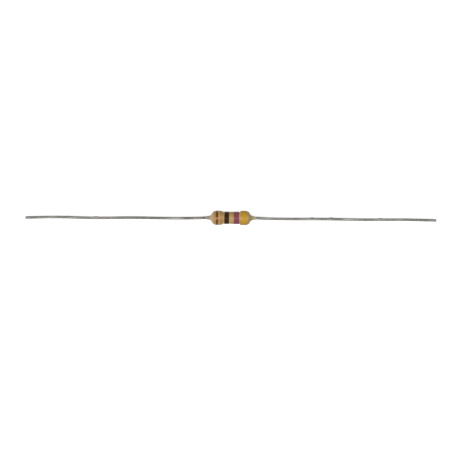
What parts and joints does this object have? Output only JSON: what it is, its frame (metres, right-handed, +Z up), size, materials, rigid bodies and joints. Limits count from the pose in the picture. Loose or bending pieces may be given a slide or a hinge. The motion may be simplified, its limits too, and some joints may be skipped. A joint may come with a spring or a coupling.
{
  "type": "axial resistor",
  "caption": "Lacquered axial carbon film resistor with a dog-bone body, painted colour bands and two straight tinned wire leads.",
  "frame": {"origin": "middle of the part, on the axis of the two leads", "axes": "+X along the leads towards the yellow band's end, +Z up towards the picture's camera, +Y across the leads"},
  "size_m": [0.0614, 0.0022, 0.0022],
  "materials": {
    "ceramic": "matt, ground",
    "carbon": "satin film",
    "cap_steel": "tinned, drawn",
    "tinned_wire": "tinned, drawn, slightly dull",
    "tan_lacquer": "glossy lacquer",
    "yellow_paint": "glossy paint",
    "violet_paint": "glossy paint",
    "black_paint": "glossy paint",
    "gold_paint": "metallic paint"
  },
  "bodies": {
    "root": {"ceramic_core": "ceramic", "carbon_film": "carbon", "left_end_cap": "cap_steel", "right_end_cap": "cap_steel", "left_lead": "tinned_wire", "right_lead": "tinned_wire", "lacquer_coat": "tan_lacquer", "yellow_band": "yellow_paint", "violet_band": "violet_paint", "black_band": "black_paint", "gold_band": "gold_paint"}
  },
  "joints": []
}
